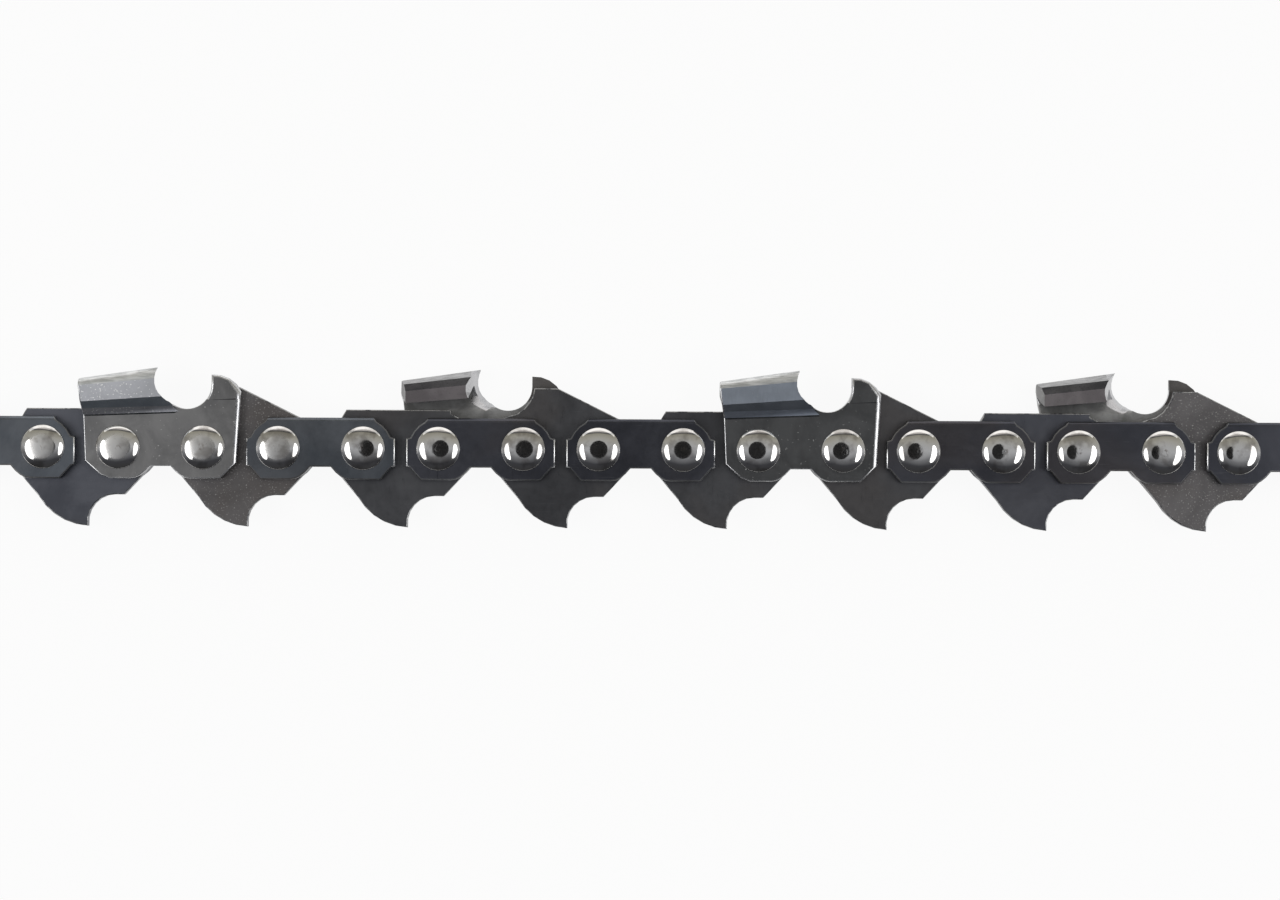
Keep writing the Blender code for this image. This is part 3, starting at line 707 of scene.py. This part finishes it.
@dataclass
class Cutters:
    """Chromed cutters: rolled rims, a wide rolled front edge, and bare steel where ground.

    Places and limits are in the cutter's own frame: X from its middle, Y from the rivets' line
    and Z from the chain's middle plane. Its plate lies from 0.71 mm to 1.81 mm there, the upright
    band stands further out, and the top plate reaches back over the middle plane to its free end.
    A cut is a plane's X and Y, and its lean in degrees. Angles are in degrees.
    """

    bench: Bench
    skins: Mapping[Skin, Finish]
    own_skins: Mapping[int, Mapping[Skin, Finish]]
    half_span: float = 0.004945
    hole_reach: float = 0.0018
    head_rear: float = -0.00950
    front: float = 0.00895
    toe: float = -0.00170
    gauge_rear: float = 0.00588
    tip_rear: float = 0.00528
    fold_end: float = 0.00140
    kink: float = 0.00520
    kink_range: tuple[float, float] = (0.00510, 0.00650)
    band_foot: float = 0.00700
    corner_rise: float = 0.15
    inner_side: float = 0.0005
    plate_middle: float = 0.0012
    plate_limit: float = 0.0020
    underside_limit: float = 0.0025
    inner_top: float = 0.0037
    shoulder: float = 0.00025
    across_plate: float = 0.0008
    scribe_heights: tuple[float, float] = (0.00556, 0.00567)
    fold_toe: tuple[float, float] = (0.00210, 0.00416)
    fold_tilt: float = 2.27
    fold_middle: float = 0.00232
    fold_facing: float = 0.7
    crease: float = 0.00018
    crease_foot: float = 0.0035
    bared_cuts: tuple[tuple[float, float, float], ...] = ((-0.00050, 0.00495, 30.8),
                                                          (0.00090, 0.00472, -35.0),
                                                          (-0.00130, 0.0, 90.0))
    wheel: tuple[float, float] = (0.00308, 0.00730)
    wheel_radius: float = 0.00282
    wheel_error: float = 0.00004
    file_place: tuple[float, float, float] = (0.00220, 0.00792, 0.00313)
    file_radius: float = 0.00262
    file_error: float = 0.00006
    file_angle: float = 18.0
    file_drop: float = 10.0
    smooth_turn: float = 38.0
    roll: float = 0.00054
    rim_share: float = 0.26
    inner_share: float = 0.12
    tip_share: float = 0.50
    gullet_share: float = 0.14

    def build(self) -> None:
        """Copies each node, dresses it and rounds its rims."""
        finishes = {skin: finish.material() for skin, finish in self.skins.items()}
        for node in self.bench.names("right_cutter", "left_cutter"):
            piece = self.bench.copy(node, node + "_plated")
            own = self.own_skins.get(self.bench.link_number(node), {})
            for skin in Skin:
                piece.data.materials.append(own[skin].material() if skin in own else finishes[skin])
            line = self.bench.rivet_line
            origin = Vector((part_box(node)[0].x - self.head_rear, line.y, line.z))
            seat = Seat(piece, origin, 1 if node.startswith("right") else -1)
            self.scribe(seat)
            self.mark_crease(seat)
            self.mark_bared(seat)
            for face in piece.data.polygons:
                face.material_index = self.skin_of(face, seat)
            self.crisp_kink(seat)
            roll_rims(piece, self.roll, self.shares(seat))
            settle_shading(piece, self.smooth_turn)
            self.bench.hand_over(piece, node)

    def off_wheel(self, here: Vector) -> float:
        """Distance of a place from the gullet wheel's surface."""
        return abs(math.hypot(here.x - self.wheel[0], here.y - self.wheel[1]) - self.wheel_radius)

    def off_file(self, here: Vector) -> float:
        """Distance of a place from the file's surface."""
        angle, drop = math.radians(self.file_angle), math.radians(self.file_drop)
        along = Vector((math.sin(angle) * math.cos(drop), math.sin(drop),
                        math.cos(angle) * math.cos(drop)))
        arm = here - Vector(self.file_place)
        return abs((arm - along * arm.dot(along)).length - self.file_radius)

    def is_ground(self, corners: Sequence[Vector]) -> bool:
        """Whether a face's corners all lie on the gullet wheel's surface, or all on the file's."""
        return (all(self.off_wheel(corner) < self.wheel_error for corner in corners)
                or all(self.off_file(corner) < self.file_error for corner in corners))

    def bared_planes(self) -> list[tuple[Vector, Vector]]:
        """A place on each plane round the area that the wheel bared, and the plane's normal."""
        turns = [math.radians(lean) for _, _, lean in self.bared_cuts]
        return [(Vector((x, y, 0)), Vector((math.sin(turn), math.cos(turn), 0)))
                for (x, y, _), turn in zip(self.bared_cuts, turns)]

    def is_bared(self, here: Vector) -> bool:
        """Whether a place on the inner faces lies in the area that the wheel bared."""
        within = all((here - place).dot(across) > 0 for place, across in self.bared_planes())
        return within and here.x < self.wheel[0] and here.z > self.inner_side

    def scribe(self, seat: Seat) -> None:
        """Cuts the two edges of the line scribed across the depth gauge's outer face."""

        def on_gauge(face: Face) -> bool:
            return max(corner.x for corner in seat.corners(face)) > self.gauge_rear

        for height in self.scribe_heights:
            seat.cut(on_gauge, Vector((0, height, 0)), (0, 1, 0))

    def mark_crease(self, seat: Seat) -> None:
        """Cuts the outer fold in two along its middle, for its darker and lighter halves of painted
        shade, and a narrow strip off the plate at its foot for a painted dark line of shade.
        """
        toe = Vector((*self.fold_toe, 0))
        tilt = math.radians(self.fold_tilt)

        def on_plate(face: Face) -> bool:
            return seat.facing(face).z > STRAIGHT and seat.local(face.center).z < self.plate_limit

        def behind_toe(face: Face) -> bool:
            return on_plate(face) and seat.local(face.center).x < toe.x

        def on_fold(face: Face) -> bool:
            return seat.facing(face).z > self.fold_facing and face.normal.y < -LEANING

        seat.cut(on_fold, Vector((0, 0, self.fold_middle)), (0, 0, 1))
        seat.cut(on_plate, toe, (1, 0, 0))
        seat.cut(behind_toe, toe - Vector((0, self.crease, 0)), (-math.sin(tilt), math.cos(tilt), 0))

    def mark_bared(self, seat: Seat) -> None:
        """Cuts the inner faces round the area that the wheel bared behind the cutting edge."""

        def is_inside(face: Face) -> bool:
            return (seat.facing(face).z < -SLIGHT and not self.is_ground(seat.corners(face))
                    and seat.local(face.center).z > self.inner_side)

        for place, across in self.bared_planes():
            seat.cut(is_inside, place, across)

    def crisp_kink(self, seat: Seat) -> None:
        """Marks the kink below the upright band as a sharp edge, outside and inside."""
        low, high = self.kink_range
        for edge in seat.piece.data.edges:
            ends = seat.corners(edge)
            along = ends[1] - ends[0]
            if (abs(along.x) > abs(along.y) + abs(along.z)
                    and max(end.x for end in ends) < self.fold_end
                    and all(low < end.y < high for end in ends)):
                edge.use_edge_sharp = True

    def skin_of(self, face: Face, seat: Seat) -> Skin:
        """The finish of a face."""
        if self.is_ground(seat.corners(face)):
            return Skin.GROUND
        here, facing = seat.local(face.center), seat.facing(face)
        if facing.z < -SLIGHT and self.is_bared(here):
            return Skin.GROUND
        if facing.z < -HALF:
            return self.inner_skin(here, facing)
        if here.x > self.fold_end:
            low, high = self.scribe_heights
            scribed = here.x > self.gauge_rear and facing.z > STRAIGHT and low < here.y < high
            return Skin.CREASE if scribed else Skin.PLATE
        return self.head_skin(here, facing)

    def inner_skin(self, here: Vector, facing: Vector) -> Skin:
        """The finish of a face, not ground, that looks to the chain's middle plane."""
        # The shoulder strip gets nearly black painted shade.
        if facing.y > HALF and here.z < self.shoulder:
            return Skin.PITTED
        if here.x > self.gauge_rear and here.y > self.kink:
            return Skin.GAUGE_BACK
        return Skin.FREE_END if here.z < -self.inner_side else Skin.INSIDE

    def head_skin(self, here: Vector, facing: Vector) -> Skin:
        """The finish of any other face behind the fold's front end."""
        # The shoulder strip gets nearly black painted shade.
        if facing.y > LEANING and here.z < self.shoulder:
            return Skin.PITTED
        if facing.y < -LEANING and here.y > self.kink and here.z < self.underside_limit:
            return Skin.INSIDE
        rounded = facing.y > SLIGHT and facing.z > self.corner_rise
        if here.y > self.band_foot and (facing.y > STRAIGHT or rounded):
            return Skin.CORNER
        # The fold's upper half gets a darker copy of the chrome, painted shade, and its lower half the
        # band's lighter one, painted light.
        if facing.z > LEANING and facing.y < -LEANING:
            return Skin.FOLD if here.z > self.fold_middle else Skin.BAND
        # The strip at the fold's foot is a painted dark line of shade.
        if (facing.z > STRAIGHT and self.crease_foot < here.y < self.kink
                and here.z < self.plate_limit):
            return Skin.CREASE
        return Skin.BAND if facing.z > LEANING and here.y > self.kink else Skin.PLATE

    def shares(self, seat: Seat) -> Share:
        """How wide each rim is rolled: most down the front edge, and not on the dull faces nor on the
        shoulder's painted shade.
        """

        def share(edge: bmesh.types.BMEdge) -> float:
            skins = {Skin(face.material_index) for face in edge.link_faces}
            ends = [seat.local(vertex.co) for vertex in edge.verts]
            here = (ends[0] + ends[1]) / 2
            inner = here.z < self.plate_middle
            if Skin.GROUND in skins:
                tip = here.x > self.tip_rear and here.y > self.scribe_heights[1]
                wide = self.tip_share if tip else self.gullet_share * (here.x > self.fold_end)
                return 0.0 if inner else wide
            hole = min(math.hypot(here.x - x, here.y) for x in (-self.half_span, self.half_span))
            if (skins & {Skin.PITTED, Skin.FREE_END, Skin.GAUGE_BACK} or hole < self.hole_reach
                    or abs(ends[0].z - ends[1].z) > self.across_plate):
                return 0.0
            if inner and here.y < self.inner_top:
                return self.inner_share
            if here.x > self.gauge_rear and here.y > self.toe:
                if inner:
                    return self.inner_share
                return 1.0 if here.x > self.front or here.y < 0 else self.tip_share
            return self.rim_share

        return share


@dataclass
class Rivets:
    """Turned rivets: a dome that is nearly flat in its middle, on a thin rounded collar.

    The collar's rings are given by how far each stands out past the head's radius, and its
    height above the head's seat.
    """

    bench: Bench
    polished: SpunDome
    scoured: SpunDome
    scoured_ones: tuple[int, ...]
    head_radius: float = 0.00256
    head_height: float = 0.00070
    dome_radius: float = 0.00250
    middle_bend: float = 43.3
    edge_bend: float = 4.80e7
    shank_radius: float = 0.00158
    steps: int = 72
    dome_rings: int = 14
    crowding: float = 0.8
    smooth_turn: float = 50.0
    collar: tuple[tuple[float, float], ...] = ((-0.00003, 0.000060), (-0.00001, 0.000030),
                                               (0.0, 0.00001), (-0.00003, 0.0))

    def head(self, top: float) -> list[tuple[float, float]]:
        """Radius and height of each ring of a head, from its middle to the shank.

        Args:
            top: Height of the head's highest point above the chain's middle plane.

        Returns:
            The rings, outwards and down.
        """
        seat = top - self.head_height
        rings = []
        for ring in range(1, self.dome_rings + 1):
            radius = self.dome_radius * (ring / self.dome_rings) ** self.crowding
            fall = self.middle_bend * radius ** 2 / 2 + self.edge_bend * radius ** 4 / 4
            rings.append((radius, top - fall))
        rings += [(self.head_radius + inset, seat + height) for inset, height in self.collar]
        return rings + [(self.shank_radius, seat)]

    def build(self) -> None:
        """Turns one rivet, copies it to each place and gives each one of the two finishes."""
        nodes = self.bench.names("rivet_")
        low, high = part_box(nodes[0])
        pieces = {nodes[0]: self.turn_one(nodes[0], (low + high) / 2, (high.z - low.z) / 2)}
        for node in nodes[1:]:
            pieces[node] = add(node + "_spun", pieces[nodes[0]].data.copy())
            shift = sum(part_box(node), Vector()) / 2 - (low + high) / 2
            for vertex in pieces[node].data.vertices:
                vertex.co += shift
        polished, scoured = self.polished.material(), self.scoured.material()
        for node, piece in pieces.items():
            is_scoured = self.bench.link_number(node) in self.scoured_ones
            piece.data.materials.append(scoured if is_scoured else polished)
            self.bench.hand_over(piece, node)

    def turn_one(self, node: str, centre: Vector, top: float) -> bpy.types.Object:
        """Turns a rivet from a small circle, ring after ring, head to head.

        Args:
            node: The node that it stands for.
            centre: The rivet's middle.
            top: Half its length.

        Returns:
            The rivet.
        """
        upper = self.head(top)
        rings = upper + [(radius, -height) for radius, height in reversed(upper)]
        radius, height = rings[0]
        bpy.ops.mesh.primitive_circle_add(vertices=self.steps, radius=radius, fill_type="NGON",
                                          location=centre + Vector((0, 0, height)), calc_uvs=False)
        piece = bpy.context.object
        piece.name = node + "_spun"
        bpy.ops.object.transform_apply(location=True, rotation=True, scale=True)
        bpy.ops.object.mode_set(mode="EDIT")
        bpy.ops.mesh.select_mode(type="EDGE")
        bpy.ops.mesh.select_all(action="SELECT")
        for (r0, z0), (r1, z1) in zip(rings, rings[1:]):
            bpy.ops.mesh.extrude_edges_move(TRANSFORM_OT_translate={"value": (0, 0, z1 - z0)})
            share = r1 / r0
            bpy.ops.transform.resize(value=(share, share, 1), center_override=centre)
        bpy.ops.mesh.edge_face_add()
        bpy.ops.mesh.select_all(action="SELECT")
        bpy.ops.mesh.normals_make_consistent(inside=False)
        bpy.ops.object.mode_set(mode="OBJECT")
        self.unwrap(piece, centre)
        pick(piece)
        bpy.ops.object.shade_smooth_by_angle(angle=math.radians(self.smooth_turn),
                                             keep_sharp_edges=True)
        return piece

    def unwrap(self, piece: bpy.types.Object, centre: Vector) -> None:
        """Lays the heads flat on the UV map, seen along the rivet's axis."""
        sheet = piece.data.uv_layers.new(name=HEAD_MAP)
        for loop in piece.data.loops:
            place = piece.data.vertices[loop.vertex_index].co - centre
            sheet.data[loop.index].uv = (0.5 + place.x / self.head_radius / 2,
                                         0.5 + place.y / self.head_radius / 2)


@dataclass
class Studio:
    """Pale floor, soft lamps, a pale surround and the camera above the chain.

    The grades colour the surround from -Y to +Y. The case is the camera's, as the rivets see it.
    """

    frame_width: float = 0.14892
    camera_height: float = 0.400
    plate_top: float = 0.00494
    aim_x: float = -0.00009
    aim_y: float = -0.00007
    roll: float = 0.0055
    sensor: float = 36.0
    clip_start: float = 0.01
    floor_size: float = 8.0
    floor_z: float = -0.00002
    case_radius: float = 0.088
    case_height: float = 0.412
    case_sides: int = 10
    side_place: tuple[float, float, float] = (0.36, -0.06, 0.33)
    side_size: tuple[float, float] = (0.37, 0.25)
    side_radiance: float = 3.1
    back_place: tuple[float, float, float] = (0, 0.60, 0.13)
    back_size: tuple[float, float] = (1.40, 0.32)
    back_radiance: float = 0.75
    grades: tuple[tuple[float, Colour], ...] = ((0.0, (0.05, 0.05, 0.052)),
                                                (0.20, (0.06, 0.062, 0.07)),
                                                (0.38, (0.22, 0.225, 0.24)),
                                                (0.50, (0.52, 0.53, 0.55)),
                                                (0.70, (0.46, 0.45, 0.41)),
                                                (0.84, (0.36, 0.345, 0.29)),
                                                (0.865, (0.12, 0.12, 0.12)),
                                                (0.89, (0.14, 0.14, 0.14)),
                                                (0.91, (0.68, 0.65, 0.63)),
                                                (1.0, (0.74, 0.71, 0.68)))

    def build(self) -> None:
        """Makes the surround of the object."""
        self.lay_floor()
        x, y, z = self.side_place
        self.lamp("left_card", "ELLIPSE", (-x, y, z), self.side_size, self.side_radiance)
        self.lamp("right_card", "ELLIPSE", (x, y, z), self.side_size, self.side_radiance)
        self.lamp("back_card", "RECTANGLE", self.back_place, self.back_size, self.back_radiance)
        self.grade_surround()
        self.hang_camera()
        self.hang_case()

    def lay_floor(self) -> None:
        """A large plane just under the chain."""
        bpy.ops.mesh.primitive_plane_add(size=self.floor_size, location=(0, 0, self.floor_z))
        floor = bpy.context.object
        floor.name = "floor"
        floor.data.materials.append(PaleFloor().material())
        floor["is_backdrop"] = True

    def hang_case(self) -> None:
        """A black disc round the camera, which the polished heads mirror in their middles."""
        bpy.ops.mesh.primitive_circle_add(vertices=self.case_sides, radius=self.case_radius,
                                          fill_type="NGON",
                                          location=(self.aim_x, self.aim_y, self.case_height))
        case = bpy.context.object
        case.name = "camera_case"
        case.data.materials.append(BlackCard().material())
        case.visible_camera = False
        case.visible_shadow = False
        case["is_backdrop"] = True

    def lamp(self, name: str, shape: str, place: Sequence[float], size: Sequence[float],
             radiance: float) -> None:
        """A soft box that faces the chain.

        Args:
            name: The lamp's name.
            shape: RECTANGLE or ELLIPSE.
            place: Where it stands.
            size: Its width and height.
            radiance: How bright its face is, where 1 is white.
        """
        data = bpy.data.lights.new(name, "AREA")
        data.shape = shape
        data.size, data.size_y = size
        fill = math.pi / 4 if shape == "ELLIPSE" else 1.0
        data.energy = radiance * math.pi * size[0] * size[1] * fill
        lamp = add(name, data)
        lamp.location = place
        lamp.rotation_euler = Vector(place).to_track_quat("Z", "Y").to_euler()
        lamp.visible_camera = False

    def grade_surround(self) -> None:
        """Colours the surround by its grades."""
        world = bpy.data.worlds.new("graded_surround")
        bpy.context.scene.world = world
        world.use_nodes = True
        tree = world.node_tree
        place = tree.nodes.new("ShaderNodeTexCoord").outputs["Generated"]
        parts = tree.nodes.new("ShaderNodeSeparateXYZ")
        tree.links.new(place, parts.inputs[0])
        shift = tree.nodes.new("ShaderNodeMapRange")
        shift.inputs["From Min"].default_value = -1
        tree.links.new(parts.outputs["Y"], shift.inputs["Value"])
        grade = tree.nodes.new("ShaderNodeValToRGB")
        tree.links.new(shift.outputs["Result"], grade.inputs["Fac"])
        ramp = grade.color_ramp
        for at, _ in self.grades[2:]:
            ramp.elements.new(at)
        for element, (at, colour) in zip(ramp.elements, self.grades):
            element.position = at
            element.color = (*colour, 1)
        tree.links.new(grade.outputs["Color"], tree.nodes["Background"].inputs["Color"])

    def hang_camera(self) -> None:
        """Looks straight down, with the image's upper side towards the cutting edges."""
        data = bpy.data.cameras.new("camera")
        data.sensor_width = self.sensor
        data.lens = self.sensor * self.camera_height / self.frame_width
        data.clip_start = self.clip_start
        camera = add("camera", data)
        camera.location = (self.aim_x, self.aim_y, self.plate_top + self.camera_height)
        camera.rotation_euler = (0, 0, self.roll)
        bpy.context.scene.camera = camera


def cutter_skins() -> dict[Skin, Finish]:
    """The finishes that the cutters share."""
    return {Skin.PLATE: HardChrome("cutter_plate"),
            # Rolled rims painted far brighter than the plate: a painted highlight, with some wear.
            Skin.EDGE: WornAndLitEdge("cutter_edge", bare=(0.62, 0.62, 0.62), coated=(0.50, 0.50, 0.51)),
            Skin.GROUND: GroundSteel("filed_steel"),
            # Corner: pale painted highlight for the light from +Y, with brushed streaks.
            Skin.CORNER: BrushedAndLitCorner("cutter_corner"),
            # Band and fold: bluish copies of the chrome, lighter and darker, as painted sheen and
            # painted shade of the tilted faces.
            Skin.BAND: HardChrome("cutter_band_painted_sheen", dark=(0.44, 0.49, 0.57), pale=(0.55, 0.61, 0.71),
                                  specks=0.5, roughness=0.36),
            Skin.FOLD: HardChrome("cutter_fold_painted_shade", dark=(0.31, 0.345, 0.40), pale=(0.39, 0.43, 0.49),
                                  specks=0.5, roughness=0.34),
            # Crease line at the fold's foot: nearly black painted shade; the scribed line on the gauge
            # shares it.
            Skin.CREASE: DullSteel("crease_shade_and_scribe_steel", dark=(0.02, 0.021, 0.024),
                                   pale=(0.05, 0.052, 0.056), metallic=0.9),
            Skin.INSIDE: DullSteel("cutter_inside"),
            # Shoulder under the top plate's free end: nearly black painted shade, with pits.
            Skin.PITTED: DullSteel("shoulder_painted_shade", dark=(0.030, 0.030, 0.032),
                                   pale=(0.060, 0.058, 0.060), pit=(0.012, 0.012, 0.012),
                                   pits=0.8, metallic=0.9),
            Skin.FREE_END: DullSteel("sheared_end", dark=(0.130, 0.118, 0.124),
                                     pale=(0.180, 0.165, 0.172), pit=(0.07, 0.07, 0.07), pits=0.5),
            Skin.GAUGE_BACK: DullSteel("gauge_back", dark=(0.092, 0.086, 0.084),
                                       pale=(0.128, 0.120, 0.116), pit=(0.05, 0.05, 0.05), pits=0.5)}


def own_cutter_skins() -> dict[int, dict[Skin, Finish]]:
    """The finishes in which single cutters differ, by link: cutter 1 is painted lighter and cutter 5
    darker, as painted light that falls stronger on the chain's left end, and cutters 3 and 7 get a
    darker copy of the corner's painted highlight.
    """
    # Cutters 3 and 7: a darker copy of the corner's painted highlight.
    dimmer_corner_sheen = BrushedAndLitCorner("dimmer_corner_sheen", dark=(0.24, 0.24, 0.245), pale=(0.46, 0.46, 0.465))
    # Cutter 1: lighter plate, band and fold, painted light; its band also gets more specks.
    return {1: {Skin.PLATE: HardChrome("pale_plate_painted_light", dark=(0.200, 0.199, 0.201),
                                       pale=(0.300, 0.297, 0.298)),
                Skin.BAND: HardChrome("speckled_band_painted_light", dark=(0.53, 0.54, 0.57),
                                      pale=(0.65, 0.66, 0.70), speck=(1.0, 1.0, 1.0),
                                      specks=1.0, speck_level=0.70, roughness=0.36),
                Skin.FOLD: HardChrome("pale_fold_painted_light", dark=(0.40, 0.45, 0.51),
                                      pale=(0.50, 0.56, 0.62), specks=0.5, roughness=0.34)},
            3: {Skin.CORNER: dimmer_corner_sheen},
            # Cutter 5: darker plate, painted shade.
            5: {Skin.PLATE: HardChrome("dark_plate", dark=(0.102, 0.104, 0.107),
                                       pale=(0.152, 0.155, 0.159))},
            7: {Skin.CORNER: dimmer_corner_sheen}}


def chain_groups(bench: Bench) -> tuple[Plates | Cutters | Rivets, ...]:
    """The groups of like pieces that make up the chain, each with its finishes."""
    strap_steels = {Tone.PLAIN: BluedSteel("blued_strap", dark=(0.052, 0.054, 0.066),
                                           pale=(0.086, 0.089, 0.106), stain=(0.090, 0.078, 0.074)),
                    Tone.BLUISH: BluedSteel("bluish_strap", dark=(0.092, 0.103, 0.120),
                                            pale=(0.150, 0.165, 0.186), stain_share=0.15)}
    drive_steels = {Tone.PLAIN: BluedSteel("blued_drive"),
                    Tone.BLUISH: BluedSteel("bluish_drive", dark=(0.090, 0.094, 0.112),
                                            pale=(0.143, 0.149, 0.172), stain_share=0.1),
                    Tone.RUBBED: BluedSteel("rubbed_drive", dark=(0.132, 0.126, 0.128),
                                            pale=(0.196, 0.188, 0.190), stain_share=0.5, specks=0.9,
                                            roughness=0.46)}
    # Strap end rims: near-white painted highlight with some bared wear; long rims: a lighter copy of
    # the blued steel, painted sheen.
    strap_rims = {"edge": WornAndLitEdge("strap_edge", bare=(0.78, 0.78, 0.78), bared=0.9),
                  "half_span": 0.004945, "hole_radius": 0.00164, "lit_and_worn_depth": 0.0003,
                  "long_rim": BluedSteel("strap_rim", dark=(0.125, 0.127, 0.133),
                                         pale=(0.200, 0.202, 0.208))}
    drive_rims = {"edge": WornAndLitEdge("drive_edge", bared=0.7), "half_span": 0.004375,
                  "hole_radius": 0.00225, "roll": 0.00012, "inner_share": 1.0}
    strap_tones = {0: Tone.BLUISH, 2: Tone.BLUISH}
    drive_tones = {1: Tone.BLUISH, 2: Tone.RUBBED, 7: Tone.BLUISH, 8: Tone.RUBBED}
    return (Plates(bench, "tie_strap", strap_steels, strap_tones, **strap_rims),
            Plates(bench, "drive_link", drive_steels, drive_tones, **drive_rims),
            Bumpers(bench, "bumper", drive_steels, drive_tones, **drive_rims),
            Cutters(bench, cutter_skins(), own_cutter_skins()),
            Rivets(bench, SpunDome("spun_dome"), SpunDome("scoured_dome", scour=0.26), (1, 2, 3, 4)))


def corners(box: Iterable[Vector]) -> list[list[float]]:
    """A box as plain lists."""
    return [list(corner) for corner in box]


def main() -> None:
    """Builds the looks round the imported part."""
    logging.basicConfig(level=logging.INFO, format="%(name)s: %(message)s")
    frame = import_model()
    cad_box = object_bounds()
    for group in chain_groups(Bench(frame)):
        group.build()
    Studio().build()
    bpy.context.scene.view_settings.view_transform = "Standard"
    bpy.context.view_layer.update()
    {"cad": corners(cad_box), "visual": corners(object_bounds())}


if __name__ == "__main__":
    main()
